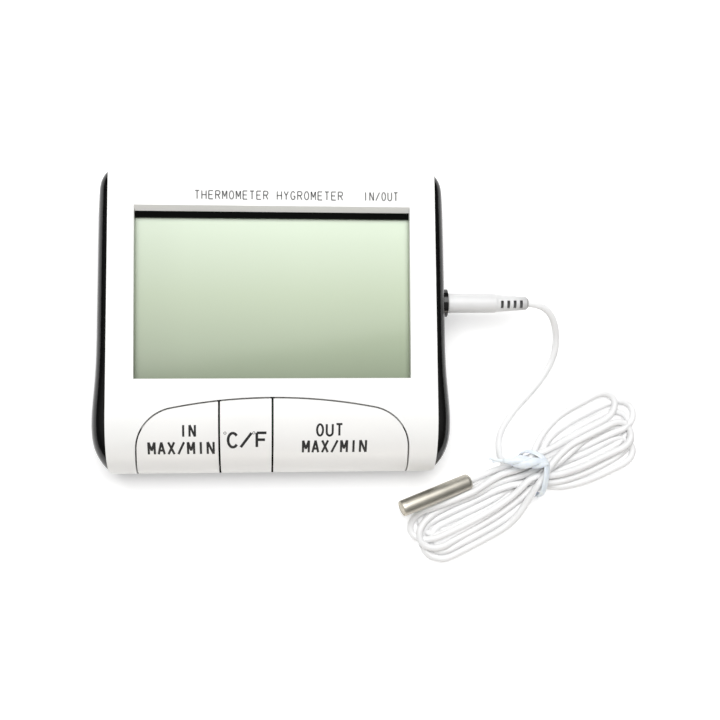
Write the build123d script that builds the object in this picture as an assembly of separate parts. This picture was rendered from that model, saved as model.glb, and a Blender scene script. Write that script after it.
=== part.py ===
from build123d import *
from math import pi, radians, sqrt, tan
import os

# Digital indoor and outdoor thermometer with maximum and minimum memory, and a probe on a lead.
# It lies on its back: +Z comes out of the display, +Y is the top of the case, +X the jack side.
# The origin is the centre of the case's footprint, at the level of its flat back. Millimetres.

# Case
TOP_HALF_WIDTH = 49.4
BOTTOM_HALF_WIDTH = 50.15
HALF_HEIGHT = 46.6
THICKNESS = 24.0
PARTING = 8.0
SKIN = 1.9
FLOOR = 2.0
CORNER_RADIUS = 1.6
TOP_RADIUS = 1.4
BACK_RADIUS = 1.1
CHIN_START = -28.0
CHIN_RUN = HALF_HEIGHT + CHIN_START
CHIN_DROP = THICKNESS - PARTING
FACE_UNDER = THICKNESS - SKIN

# Side cheeks: how far they stand out from the case at each height up the case
CHEEK_DROP = 2.5
CHEEK_BACK = 0.9
CHEEK_BULGE = [(45.9, 0.3), (44.2, 2.0), (39.0, 3.4), (26.0, 3.65), (0.0, 3.75),
               (-18.0, 4.25), (-32.0, 5.2), (-39.5, 4.1), (-43.4, 2.0), (-45.4, 0.5)]

# Display
WINDOW_HALF_WIDTH = 41.7
WINDOW_TOP = 34.6
WINDOW_BOTTOM = -17.7
SIDE_BEVEL = 0.1
TOP_BEVEL = 1.55
VIEW_HALF_WIDTH = 42.1
VIEW_TOP = 31.2
VIEW_BOTTOM = -18.3
GLASS_HALF_WIDTH = 43.6
GLASS_TOP = 34.4
GLASS_BOTTOM = -19.0
GLASS_LOW = 18.4
GLASS_THICKNESS = 2.4
FRAME_WALL = 1.2
FIT_GAP = 0.1

# Keys
ARCH_HALF_WIDTH = 40.6
ARCH_CROWN = -23.5
ARCH_RADIUS = 160.0
ARCH_CORNER = 13.0
ARCH_FLARE = 1.1
KEY_SPLITS = (-16.3, -0.3)
KEY_GAP = 0.25
DIVIDER_GAP = 0.31
KEY_TRAVEL = 0.6
KEY_FOOT = PARTING + KEY_TRAVEL + 0.5
KEY_RIM = 1.3
FLANGE_LOW = 20.5
FLANGE_HIGH = 21.2
SWITCH_Y = -31.5
SWITCH_SIZE = 6.0

# Circuit board
BOARD_LOW = 15.0
BOARD_HIGH = 16.2
SWITCH_TOP = BOARD_HIGH + 4.3
BOARD_HALF_WIDTH = 47.0
BOARD_TOP = 39.4
BOARD_BOTTOM = -34.9
BOARD_POSTS = [(-30.0, 37.7), (30.0, 37.7), (-45.2, -24.5), (45.2, -24.5)]
CASE_BOSSES = [(-44.5, 42.8), (44.5, 42.8), (-45.5, -38.0), (45.5, -38.0)]
BOSS_RADIUS = 3.6
SCREW_HEAD_RECESS = 2.9
SCREW_CLEARANCE = 1.45
CASE_PILOT = 1.3
BOARD_PILOT = 1.0

# Battery bay, for one AAA cell lying across the case
CELL_RADIUS = 5.25
CELL_LENGTH = 44.5
CELL_Y = 21.2
CELL_Z = 7.05
BAY_HALF_WIDTH = 26.5
BAY_BOTTOM = 12.5
BAY_TOP = 28.6
BAY_CEILING = 12.6
BAY_WALL = 1.2
CONTACT_SLOT = 0.9
WIRE_ROUTE = [(BAY_HALF_WIDTH, CELL_Y, 14.35), (30.5, CELL_Y, 14.3), (32.8, 17.5, 13.0),
              (33.2, 10.5, 12.2), (33.2, 7.6, 12.6), (33.2, 7.6, BOARD_LOW)]
DOOR_AXIS = (13.9, 1.25)
DOOR_BARREL = 1.1
DOOR_PIN = 0.8

# Table stand
LEG_AXIS = (8.0, 1.75)
LEG_BARREL = 1.5
LEG_PIN = 1.0
LEG_HINGE_HALF = 19.6
LEG_FOOT_HALF = 16.5
LEG_FOOT_Y = -37.0
LEG_POCKET_HALF = 20.4
LEG_POCKET_DEPTH = 3.5
PIN_CLEARANCE = 0.06

# Wall hanging hole
KEYHOLE_Y = 36.0
KEYHOLE_RADIUS = 3.6
KEYHOLE_SLOT = 1.9
KEYHOLE_RISE = 5.0

# Air slots in the back, over the humidity sensor
VENT_COUNT = 5
VENT_PITCH = 3.5
VENT_FIRST = -7.0
VENT_HALF_WIDTH = 0.7
VENT_LEFT = -44.0
VENT_RIGHT = -33.0

# Jack, plug and probe lead
JACK_Y = 6.4
JACK_Z = 11.5
JACK_FACE = 54.9
JACK_NOSE = 3.0
SOCKET_END = 47.5
PIN_RADIUS = 1.75
PIN_TIP = 41.2
BORE_CLEARANCE = 0.05
GRIP_RADIUS = 3.1
GRIP_END = 71.2
RELIEF_END = 81.0
RELIEF_ROWS = 4
RELIEF_PITCH = 2.07
RELIEF_SLOT = 0.95
RELIEF_SLOT_REACH = 1.25
RELIEF_TURN = 15.0
CORD_DIAMETER = 2.2
PROBE_RADIUS = 2.6
PROBE_CLEARANCE = 0.15
PROBE_TIP = Vector(40.6, -58.6, 7.6)
PROBE_TAIL = Vector(63.4, -50.3, 2.7)

# The lead's route from the strain relief down to the table and along it to the tied hank
LEAD_ROUTE = [
    (81.0, 6.4, 11.5), (85.0, 6.0, 11.2), (88.6, 3.9, 9.8), (91.0, 0.2, 7.2), (92.3, -4.3, 4.2),
    (92.0, -9.6, 2.0), (89.4, -15.2, 1.2), (85.2, -20.6, 1.2), (80.3, -25.6, 1.2), (76.0, -30.8, 1.2),
    (73.4, -36.0, 1.2), (73.2, -41.0, 1.5), (75.4, -45.2, 1.8),
]
# The short stretch from the hank to the probe
TAIL_ROUTE = [(63.4, -50.3, 2.7), (67.2, -48.8, 2.1), (71.0, -47.2, 2.0), (75.0, -46.2, 2.2)]

# The tied hank: its outline on the table, and its waist under the tie
HANK_OUTLINE = [
    (76.0, -44.5), (83.6, -41.2), (87.5, -36.0), (94.5, -28.6), (104.5, -23.2), (111.0, -22.8),
    (116.6, -25.6), (118.4, -31.5), (118.0, -38.5), (113.5, -46.0), (105.0, -50.4), (94.5, -52.4),
    (89.0, -54.4), (84.2, -57.6), (80.6, -62.6), (74.6, -68.0), (66.0, -72.8), (57.0, -74.8),
    (49.0, -74.0), (43.6, -69.6), (43.0, -64.2), (48.0, -59.0), (56.0, -55.4), (66.0, -50.6),
]
HANK_HEIGHT = 4.4
HANK_CENTRE = (83.6, -48.4)
HANK_ANGLE = 26.0
WAIST_HALF_WIDTH = 7.2
WAIST_HALF_HEIGHT = 3.1
WAIST_LENGTH = 16.0
TIE_BAND = 2.6
TIE_THICKNESS = 0.9

NODES = {}


def block(x0, x1, y0, y1, z0, z1):
    """Box between two opposite corners."""
    middle = Pos((x0 + x1) / 2, (y0 + y1) / 2, (z0 + z1) / 2)
    return middle * Box(x1 - x0, y1 - y0, z1 - z0)


def rod(x, y, z0, z1, radius):
    """Upright cylinder."""
    return Pos(x, y, (z0 + z1) / 2) * Cylinder(radius, z1 - z0)


def rod_x(x0, x1, y, z, radius):
    """Cylinder along X."""
    return Pos((x0 + x1) / 2, y, z) * Rot(0, 90, 0) * Cylinder(radius, x1 - x0)


def half_width(y):
    """The case's half width, which narrows towards its top."""
    share = (y + HALF_HEIGHT) / (2 * HALF_HEIGHT)
    return BOTTOM_HALF_WIDTH + (TOP_HALF_WIDTH - BOTTOM_HALF_WIDTH) * share


def plan(inset, reach=0):
    """Outline of the case seen from the front; reach lengthens it up and down the case."""
    top, bottom, y = TOP_HALF_WIDTH - inset, BOTTOM_HALF_WIDTH - inset, HALF_HEIGHT - inset + reach
    corners = [(-bottom, -y), (bottom, -y), (top, y), (-top, y)]
    face = make_face(Polyline(*corners, close=True))
    return fillet(face.vertices(), max(CORNER_RADIUS - inset, 0.4))


def side_block(inset):
    """Solid with the front shell's side outline: flat face, rounded top edge and curved chin."""
    top, face, r = HALF_HEIGHT - inset, THICKNESS - inset, max(TOP_RADIUS - inset, 0.4)
    run, drop = CHIN_RUN - inset, CHIN_DROP - inset
    outline = [
        EllipticalCenterArc((CHIN_START, PARTING), run, drop, start_angle=90, arc_size=90),
        Line((CHIN_START, face), (top - r, face)),
        CenterArc((top - r, face - r), r, 0, 90),
        Line((top, face - r), (top, PARTING)),
        Line((top, PARTING), (CHIN_START - run, PARTING)),
    ]
    return extrude(Plane.YZ * make_face(outline), amount=60, both=True)


def shell_solid(inset):
    """The front half of the case as a full solid, shrunk by inset."""
    reach = 1 if inset else 0
    return side_block(inset) & extrude(plan(inset, reach), amount=THICKNESS)


def arch(growth):
    """Outline of the key area, grown by growth on every side."""
    half, radius = ARCH_HALF_WIDTH + growth, ARCH_RADIUS + growth
    shoulder = ARCH_CROWN - ARCH_RADIUS + sqrt(radius ** 2 - half ** 2)
    foot, spread = -HALF_HEIGHT - 2, half + ARCH_FLARE
    sides = Polyline((half, shoulder), (spread, foot), (-spread, foot), (-half, shoulder))
    crown = ThreePointArc((-half, shoulder), (0, ARCH_CROWN + growth), (half, shoulder))
    face = make_face([crown, *sides.edges()])
    shoulders = face.vertices().sort_by(Axis.Y)[-2:]
    return fillet(shoulders, ARCH_CORNER + growth)


def arch_prism(growth, low=PARTING - 1, high=THICKNESS + 1):
    """The key area's outline pushed through the shell."""
    return extrude(Pos(0, 0, low) * arch(growth), amount=high - low)


def window_cut():
    """Display opening, bevelled at its top and sides."""
    x, inner = WINDOW_HALF_WIDTH, WINDOW_HALF_WIDTH - SIDE_BEVEL
    outer_face = make_face(Polyline(
        (-x, WINDOW_BOTTOM), (x, WINDOW_BOTTOM), (x, WINDOW_TOP), (-x, WINDOW_TOP), close=True))
    low_top = WINDOW_TOP - TOP_BEVEL
    inner_face = make_face(Polyline(
        (-inner, WINDOW_BOTTOM), (inner, WINDOW_BOTTOM), (inner, low_top), (-inner, low_top), close=True))
    low, high = FACE_UNDER - 0.01, THICKNESS + 0.01
    return loft([Pos(0, 0, low) * inner_face, Pos(0, 0, high) * outer_face], ruled=True)


def front_shell():
    """White face with its top wall, side skirts and chin, open behind."""
    shell = shell_solid(0) - shell_solid(SKIN)
    for x, y in CASE_BOSSES:
        shell += rod(x, y, PARTING, FACE_UNDER, 2.5) & shell_solid(0.3)
    for x, y in BOARD_POSTS:
        shell += rod(x, y, BOARD_HIGH, FACE_UNDER + 0.2, 1.9)
    shell -= window_cut()
    shell -= arch_prism(KEY_GAP)
    for x, y in CASE_BOSSES:
        shell -= rod(x, y, PARTING - 1, 17.5, CASE_PILOT)
    for x, y in BOARD_POSTS:
        shell -= rod(x, y, BOARD_HIGH - 1, 21.0, BOARD_PILOT)
    notch = JACK_NOSE + 0.2
    shell -= block(46, 53, JACK_Y - notch, JACK_Y + notch, PARTING - 1, JACK_Z + notch)
    return shell


def face_height(y):
    """Height of the front face, which falls away along the chin."""
    below = max(CHIN_START - y, 0)
    return PARTING + CHIN_DROP * sqrt(1 - (below / CHIN_RUN) ** 2)


def cheek():
    """Bulging strip down the right side, a loft through sections across the case."""
    sections = []
    for y, bulge in CHEEK_BULGE:
        x = half_width(y)
        low, high = CHEEK_BACK, face_height(y) - CHEEK_DROP
        rise = high - low
        skin = Spline((x, high), (x + 0.62 * bulge, low + 0.93 * rise), (x + bulge, low + 0.56 * rise),
                      (x + 0.72 * bulge, low + 0.18 * rise), (x, low))
        root = Polyline((x, low), (x - 1, low), (x - 1, high), (x, high))
        plane = Plane(origin=(0, y, 0), x_dir=(1, 0, 0), z_dir=(0, -1, 0))
        sections.append(plane * make_face([skin, *root.edges()]))
    return loft(sections)


def rear_body():
    """The tray and its cheeks, before anything is cut from the back."""
    body = extrude(plan(0), amount=PARTING)
    body = fillet(body.edges().group_by(Axis.Z)[0], BACK_RADIUS)
    body -= extrude(Pos(0, 0, FLOOR) * plan(SKIN), amount=PARTING)
    nest = extrude(Pos(0, 0, PARTING) * plan(-0.05), amount=THICKNESS)
    hollow = extrude(Pos(0, 0, FLOOR) * plan(SKIN), amount=THICKNESS)
    right = cheek()
    for side in (right, mirror(right, Plane.YZ)):
        body += side - nest - hollow
    boss = rod_x(49.6, JACK_FACE, JACK_Y, JACK_Z, 4.4)
    return body + (boss - nest - hollow)


def rear_walls():
    """Walls inside the tray: battery bay, stand recess, keyhole pocket and screw bosses."""
    x, low, high = BAY_HALF_WIDTH + 1.9, BAY_BOTTOM - BAY_WALL, BAY_TOP + BAY_WALL
    walls = block(-x, x, low, high, FLOOR - 0.5, BAY_CEILING + BAY_WALL)
    walls += block(-22.8, 22.8, -40, 11.4, FLOOR - 0.5, LEG_POCKET_DEPTH + 1.7)
    top = HALF_HEIGHT - SKIN + 0.2
    walls += block(-5.6, 5.6, 30.6, top, FLOOR - 0.5, 6.2)
    for x, y in CASE_BOSSES:
        walls += rod(x, y, 0.5, PARTING, BOSS_RADIUS)
    return walls & extrude(plan(0.3), amount=THICKNESS)


def keyhole():
    """Round entry and narrow slot through the back, with the pocket behind them."""
    slot_top = KEYHOLE_Y + KEYHOLE_RISE
    cut = rod(0, KEYHOLE_Y, -1, FLOOR + 0.1, KEYHOLE_RADIUS)
    cut += block(-KEYHOLE_SLOT, KEYHOLE_SLOT, KEYHOLE_Y, slot_top, -1, FLOOR + 0.1)
    cut += rod(0, slot_top, -1, FLOOR + 0.1, KEYHOLE_SLOT)
    return cut + block(-4.4, 4.4, 31.8, 44.6, FLOOR, 5.0)


def vents():
    """Slots that let room air reach the humidity sensor."""
    cut = Part()
    for i in range(VENT_COUNT):
        y = VENT_FIRST + VENT_PITCH * i
        cut += block(VENT_LEFT, VENT_RIGHT, y - VENT_HALF_WIDTH, y + VENT_HALF_WIDTH, -1, FLOOR + 1)
    return cut


def rear_shell():
    """Black back: tray, cheeks, jack boss, battery bay, stand recess and hanging hole."""
    shell = rear_body() + rear_walls()
    shell -= block(-BAY_HALF_WIDTH, BAY_HALF_WIDTH, BAY_BOTTOM, BAY_TOP, -1, BAY_CEILING)
    half = LEG_POCKET_HALF
    shell -= block(-half, half, LEG_FOOT_Y - 1.5, 9.9, -1, LEG_POCKET_DEPTH)
    shell -= Pos(0, LEG_FOOT_Y - 1.5, 0) * Cylinder(6, 2.4)
    shell -= Pos(0, BAY_TOP, 0) * Cylinder(3, 2.4)
    shell -= rod_x(-half - 1.5, half + 1.5, *LEG_AXIS, LEG_PIN + PIN_CLEARANCE)
    shell -= rod_x(-BAY_HALF_WIDTH - 1.5, BAY_HALF_WIDTH + 1.5, *DOOR_AXIS, DOOR_PIN + PIN_CLEARANCE)
    for side in (-1, 1):
        x0, x1 = sorted((side * (BAY_HALF_WIDTH - CONTACT_SLOT), side * BAY_HALF_WIDTH))
        shell -= block(x0, x1, CELL_Y - 2, CELL_Y + 2, BAY_CEILING - 1, BAY_CEILING + 2)
    for x, y in CASE_BOSSES:
        shell -= rod(x, y, -1, 4, SCREW_HEAD_RECESS)
        shell -= rod(x, y, 3, PARTING + 1, SCREW_CLEARANCE)
    shell -= rod_x(45, JACK_FACE + 1, JACK_Y, JACK_Z, JACK_NOSE + BORE_CLEARANCE)
    return shell - keyhole() - vents()


def lcd_frame():
    """Black holder round the glass; its lip shows as a dark band inside the window."""
    pocket_x, low, high = GLASS_HALF_WIDTH + FIT_GAP, GLASS_BOTTOM - FIT_GAP, GLASS_TOP + FIT_GAP
    wall = FRAME_WALL
    frame = block(-pocket_x - wall, pocket_x + wall, low - wall, high + wall, BOARD_HIGH, FACE_UNDER)
    lip = GLASS_LOW + GLASS_THICKNESS + FIT_GAP
    frame -= block(-pocket_x, pocket_x, low, high, BOARD_HIGH - 1, lip)
    return frame - block(-VIEW_HALF_WIDTH, VIEW_HALF_WIDTH, VIEW_BOTTOM, VIEW_TOP, 10, 30)


def display():
    """Liquid-crystal glass, the reflector behind it and the rubber strip that connects it."""
    top, x = GLASS_LOW + GLASS_THICKNESS, GLASS_HALF_WIDTH
    NODES["lcd_frame"] = lcd_frame()
    NODES["lcd_glass"] = block(-x, x, GLASS_BOTTOM, GLASS_TOP, GLASS_LOW, top)
    foil = GLASS_LOW - 0.25
    NODES["lcd_reflector"] = block(-x + 1, x - 1, GLASS_BOTTOM + 3, GLASS_TOP - 1, foil, GLASS_LOW)
    NODES["zebra_strip"] = block(-36, 36, GLASS_BOTTOM + 0.4, GLASS_BOTTOM + 2.6, BOARD_HIGH, GLASS_LOW)


def key(x0, x1):
    """One key: curved skin, stiffening rim, retaining flange and the post over its switch."""
    span = block(x0, x1, -HALF_HEIGHT - 1, 0, KEY_FOOT, THICKNESS + 1)
    skin = (shell_solid(0) - shell_solid(SKIN)) & arch_prism(-KEY_GAP) & span
    rim = arch_prism(-KEY_GAP, FLANGE_LOW, FACE_UNDER) - arch_prism(-KEY_GAP - KEY_RIM)
    flange = arch_prism(KEY_RIM - KEY_GAP, FLANGE_LOW, FLANGE_HIGH) - arch_prism(-KEY_GAP - KEY_RIM)
    upper = block(x0 + 0.3, x1 - 0.3, -32.5, 0, FLANGE_LOW, THICKNESS)
    post = rod((x0 + x1) / 2, SWITCH_Y, SWITCH_TOP, FACE_UNDER + 0.3, 1.7)
    return skin + ((rim + flange) & upper) + (post & shell_solid(0.5))


def keys_and_switches():
    """The three keys, and the tactile switch under each one."""
    outer = ARCH_HALF_WIDTH + ARCH_FLARE + 1
    edges = (-outer, *KEY_SPLITS, outer)
    size = SWITCH_SIZE / 2
    for name, left, right in zip(("in", "unit", "out"), edges, edges[1:]):
        x0 = left + DIVIDER_GAP
        x1 = right - DIVIDER_GAP
        x = (x0 + x1) / 2
        NODES[f"{name}_key"] = key(x0, x1)
        case = block(x - size, x + size, SWITCH_Y - size, SWITCH_Y + size, BOARD_HIGH, SWITCH_TOP - 0.8)
        NODES[f"{name}_switch"] = case - rod(x, SWITCH_Y, BOARD_HIGH + 1.6, SWITCH_TOP, 1.6)
        NODES[f"{name}_plunger"] = rod(x, SWITCH_Y, BOARD_HIGH + 2.4, SWITCH_TOP, 1.5)


def screw(x, y, low, head_radius, head_height, shank_radius, length):
    """Cross-head screw driven towards +Z."""
    body = rod(x, y, low, low + head_height, head_radius)
    body += rod(x, y, low + head_height, low + head_height + length, shank_radius)
    cross = block(x - 0.3, x + 0.3, y - 1.2, y + 1.2, low - 1, low + head_height * 0.6)
    cross += block(x - 1.2, x + 1.2, y - 0.3, y + 0.3, low - 1, low + head_height * 0.6)
    return body - cross


def fasteners():
    """Case screws up through the back, and board screws into the face's posts."""
    case = [screw(x, y, 2.2, 2.7, 1.8, 1.25, 12) for x, y in CASE_BOSSES]
    board = [screw(x, y, BOARD_LOW - 1.3, 1.7, 1.3, 0.95, 5.5) for x, y in BOARD_POSTS]
    NODES["case_screws"] = Compound(children=case)
    NODES["board_screws"] = Compound(children=board)


def circuit_board():
    """Board across the whole case, drilled for its screws."""
    x = BOARD_HALF_WIDTH
    board = block(-x, x, BOARD_BOTTOM, BOARD_TOP, BOARD_LOW, BOARD_HIGH)
    for post_x, post_y in BOARD_POSTS:
        board -= rod(post_x, post_y, BOARD_LOW - 1, BOARD_HIGH + 1, 1.1)
    return board


def bent_wire(points, radius, bend):
    """Round wire along straight runs joined by arcs."""
    path = FilletPolyline(*points, radius=bend)
    return sweep(Plane(path @ 0, z_dir=path % 0) * Circle(radius), path=path)


def electronics():
    """Board and the parts soldered to its back."""
    NODES["circuit_board"] = circuit_board()
    dome = Pos(-10, -4, BOARD_LOW) * Sphere(7) & block(-20, 0, -14, 6, BOARD_LOW - 1.3, BOARD_LOW)
    NODES["chip_blob"] = dome & rod(-10, -4, BOARD_LOW - 2, BOARD_LOW, 5)
    NODES["timing_crystal"] = rod_x(5, 11.2, -9, BOARD_LOW - 1.1, 1.1)
    NODES["capacitor"] = fillet(rod(24, -14, BOARD_LOW - 5.4, BOARD_LOW, 2.0).edges(), 0.3)
    chips = [block(x, x + 2, y, y + 1.25, BOARD_LOW - 0.6, BOARD_LOW)
             for x, y in ((6, -2), (10, -2), (14, -2), (-22, -12), (-22, -8), (14, -18), (18, -4))]
    NODES["chip_parts"] = Compound(children=chips)
    sensor = block(-43, -35, -5, 5, BOARD_LOW - 3, BOARD_LOW)
    for i in range(3):
        sensor -= block(-42, -36, -3.4 + 2.8 * i, -2.2 + 2.8 * i, BOARD_LOW - 4, BOARD_LOW - 2.2)
    NODES["humidity_sensor"] = sensor
    bead = Pos(-38, -18, BOARD_LOW - 4.6) * Sphere(1.2)
    for x in (-38.7, -37.3):
        bead += rod(x, -18, BOARD_LOW - 4.6, BOARD_LOW, 0.25)
    NODES["room_thermistor"] = bead


def jack():
    """Socket under the board, with a spring contact on each side of its bore."""
    y, z = JACK_Y, JACK_Z
    socket = block(37, SOCKET_END, y - 4.5, y + 4.5, 8.3, BOARD_LOW)
    socket += rod_x(SOCKET_END, JACK_FACE - 0.2, y, z, JACK_NOSE)
    socket -= rod_x(PIN_TIP - 1.2, JACK_FACE + 1, y, z, PIN_RADIUS + BORE_CLEARANCE)
    contacts = []
    for side, x in ((-1, 43.2), (1, 46.0)):
        lane = sorted((y, y + side * 5))
        socket -= block(x, x + 2.2, *lane, z - 0.8, z + 0.8)
        leaf = sorted((y + side * 1.95, y + side * 2.2))
        arm = sorted((y + side * 1.95, y + side * 4.9))
        leg = sorted((y + side * 4.6, y + side * 4.9))
        contact = block(x + 0.2, x + 2.0, *leaf, z - 0.6, z + 0.6)
        contact += block(x + 0.2, x + 0.6, *arm, z - 0.6, z + 0.6)
        contacts.append(contact + block(x + 0.2, x + 0.6, *leg, z - 0.6, BOARD_LOW))
    NODES["jack_socket"] = socket
    NODES["jack_contacts"] = Compound(children=contacts)


def coil_spring():
    """Conical contact spring for the cell's flat end, on a backing plate."""
    start = -BAY_HALF_WIDTH + 0.4
    turns, wire, pitch = 3, 0.28, 1.05
    path = Helix(pitch=pitch, height=pitch * turns, radius=3.6, cone_angle=-22,
                 center=(start + 0.6 * wire, CELL_Y, CELL_Z), direction=(1, 0, 0))
    coil = sweep(Plane(path @ 0, z_dir=path % 0) * Circle(wire), path=path, is_frenet=True)
    return coil + battery_contact(-1)


def battery_contact(side):
    """Plate on the bay's end wall, with a tab up through the bay's ceiling."""
    x0, x1 = sorted((side * (BAY_HALF_WIDTH - 0.4), side * BAY_HALF_WIDTH))
    plate = block(x0, x1, CELL_Y - 4.5, CELL_Y + 4.5, 2.6, 11.6)
    return plate + block(x0, x1, CELL_Y - 1.6, CELL_Y + 1.6, 11, 14.6)


def battery():
    """The cell, its two contacts and their wires to the board."""
    half = CELL_LENGTH / 2
    cell = rod_x(-half, half - 1.2, CELL_Y, CELL_Z, CELL_RADIUS)
    cell = fillet(cell.edges(), 0.4) + rod_x(half - 1.3, half, CELL_Y, CELL_Z, 1.9)
    NODES["battery_cell"] = Pos(0.9, 0, 0) * cell
    NODES["battery_spring"] = coil_spring()
    dimple = rod_x(half + 0.9, BAY_HALF_WIDTH - 0.3, CELL_Y, CELL_Z, 2.2)
    NODES["battery_plate"] = battery_contact(1) + dimple
    for name, side in (("black_wire", -1), ("red_wire", 1)):
        points = [(side * x, y, z) for x, y, z in WIRE_ROUTE]
        NODES[name] = bent_wire(points, 0.4, 0.9)


def battery_door():
    """Lid that swings on two pins at its lower edge and snaps at its upper edge."""
    y, z = DOOR_AXIS
    x = BAY_HALF_WIDTH - 0.4
    door = block(-x, x, y, BAY_TOP - 0.3, 0.1, 1.6) + rod_x(-x, x, y, z, DOOR_BARREL)
    door += block(-4, 4, 26.3, 27.3, 1.5, 5.6) + block(-4, 4, 27.2, 27.7, 3.6, 4.6)
    for i in range(4):
        door -= block(-3, 3, 21 + 1.3 * i, 21.6 + 1.3 * i, 0, 0.4)
    for side in (-1, 1):
        door += rod_x(*sorted((side * (x - 0.5), side * (x + 1.7))), y, z, DOOR_PIN)
    return door


def stand_leg():
    """Tapered plate with a raised border, on two pins at its upper edge."""
    y, z = LEG_AXIS
    corners = [(-LEG_HINGE_HALF, y), (LEG_HINGE_HALF, y),
               (LEG_FOOT_HALF, LEG_FOOT_Y), (-LEG_FOOT_HALF, LEG_FOOT_Y)]
    outline = make_face(Polyline(*corners, close=True))
    outline = fillet(outline.vertices().sort_by(Axis.Y)[:2], 3)
    leg = extrude(Pos(0, 0, 0.2) * outline, amount=2.8)
    field = offset(outline, -2.2, kind=Kind.INTERSECTION)
    leg -= extrude(Pos(0, 0, 1.9) * field, amount=2)
    leg -= block(-LEG_HINGE_HALF - 1, LEG_HINGE_HALF + 1, y, y + 3, 0, 5)
    leg += rod_x(-LEG_HINGE_HALF, LEG_HINGE_HALF, y, z, LEG_BARREL)
    pin = LEG_HINGE_HALF + 2.0
    return leg + rod_x(-pin, pin, y, z, LEG_PIN)


def lathe_x(outline):
    """Solid of revolution about the jack's axis, from (x, radius) points."""
    points = [(outline[0][0], 0), *outline, (outline[-1][0], 0)]
    face = make_face(Polyline(*points, close=True))
    return Pos(0, JACK_Y, JACK_Z) * revolve(face, Axis.X)


def plug():
    """Moulded grip with a slotted strain relief, and the jack pin with its insulating rings."""
    start = JACK_FACE + 0.05
    r = GRIP_RADIUS
    grip = lathe_x([(start, r - 0.3), (start + 0.4, r), (GRIP_END - 0.8, r - 0.1), (GRIP_END, r - 0.35),
                    (RELIEF_END - 0.6, 2.1), (RELIEF_END, 1.6)])
    for row in range(RELIEF_ROWS):
        x = GRIP_END + 0.7 + RELIEF_PITCH * row
        slot = block(x, x + RELIEF_SLOT, -RELIEF_SLOT_REACH, RELIEF_SLOT_REACH, 0.8, GRIP_RADIUS)
        for turn in (0, 180):
            grip -= Pos(0, JACK_Y, JACK_Z) * Rot(RELIEF_TURN + turn, 0, 0) * slot
    tip = PIN_TIP
    pin = lathe_x([(tip, 0.6), (tip + 1.4, PIN_RADIUS), (tip + 2.6, 1.25), (tip + 3.4, PIN_RADIUS),
                   (start, PIN_RADIUS)])
    rings = []
    for x in (tip + 3.6, tip + 6.4):
        ring = rod_x(x, x + 0.8, JACK_Y, JACK_Z, PIN_RADIUS) - rod_x(x - 1, x + 2, JACK_Y, JACK_Z, 1.1)
        pin -= ring
        rings.append(ring)
    NODES["plug_grip"] = grip
    NODES["plug_pin"] = pin
    NODES["plug_insulators"] = Compound(children=rings)


def corner_radii(route):
    """Radius of the arc at each corner, as large as the two runs allow."""
    points = [Vector(*p) for p in route]
    radii = []
    for before, corner, after in zip(points, points[1:], points[2:]):
        first, second = corner - before, after - corner
        turn = radians(first.get_angle(second))
        radii.append(0.45 * min(first.length, second.length) / tan(turn / 2))
    return radii


def cord_tube(name, route):
    """A free stretch of cord, with a printed check of its bends and volume."""
    radii = corner_radii(route)
    path = FilletPolyline(*route, radius=radii)
    tube = sweep(Plane(path @ 0, z_dir=path % 0) * Circle(CORD_DIAMETER / 2), path=path)
    section = pi * CORD_DIAMETER ** 2 / 4
    ratio = tube.volume / (section * path.length)
    bends = [round(r, 1) for r in radii]
    print(name, "length", round(path.length, 1), "radii", bends, "volume ratio", round(ratio, 3))
    NODES[name] = tube


def along_hank(x_offset, shape):
    """Turns a shape that lies along X onto the hank's waist."""
    return Pos(*HANK_CENTRE, 0) * Rot(0, 0, HANK_ANGLE) * Pos(x_offset, 0, 0) * shape


def oval_bar(half_width_mm, half_height_mm, length, z):
    """Bar along X with an oval section."""
    section = Plane.YZ * Ellipse(half_width_mm, half_height_mm)
    return Pos(0, 0, z) * extrude(section, amount=length / 2, both=True)


def round_bar(start, end, radius):
    """Cylinder between two points."""
    along = end - start
    return Plane(start, z_dir=along) * (Pos(0, 0, along.length / 2) * Cylinder(radius, along.length))


def hank_and_tie():
    """Folded turns of cord as one solid, and the twisted tie round their waist."""
    outline = make_face(Spline(*HANK_OUTLINE, periodic=True))
    hank = extrude(outline, amount=HANK_HEIGHT)
    waist_z = WAIST_HALF_HEIGHT + TIE_THICKNESS
    hank += along_hank(0, oval_bar(WAIST_HALF_WIDTH, WAIST_HALF_HEIGHT, WAIST_LENGTH, waist_z))
    outer = oval_bar(WAIST_HALF_WIDTH + TIE_THICKNESS, WAIST_HALF_HEIGHT + TIE_THICKNESS, TIE_BAND, waist_z)
    band = along_hank(0.5, outer) - hank
    stub = Pos(-4.0, 4.2, 2 * waist_z + 0.2) * Rot(0, 0, -32) * Rot(0, 90, 0)
    twist = stub * (Pos(0, 0, -3.4) * Cone(0.7, 1.7, 7) + Pos(0, 0, 3.1) * Cone(1.7, 0.9, 6))
    hank -= round_bar(PROBE_TIP, PROBE_TAIL, PROBE_RADIUS + PROBE_CLEARANCE)
    NODES["cord_hank"] = hank
    NODES["cord_tie"] = band + (along_hank(0, twist) - hank)


def probe():
    """Nickel sleeve over the sensor bead, closed at its tip by resin."""
    plane = Plane(PROBE_TIP, z_dir=PROBE_TAIL - PROBE_TIP)
    sleeve = round_bar(PROBE_TIP, PROBE_TAIL, PROBE_RADIUS)
    sleeve = fillet(sleeve.edges().filter_by(GeomType.CIRCLE), 0.3)
    cavity = plane * (Pos(0, 0, 4) * Cylinder(PROBE_RADIUS - 0.4, 8.1))
    NODES["probe_sleeve"] = sleeve - cavity
    NODES["probe_end"] = plane * (Pos(0, 0, 4.1) * Cylinder(PROBE_RADIUS - 0.4, 7.9))


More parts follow.
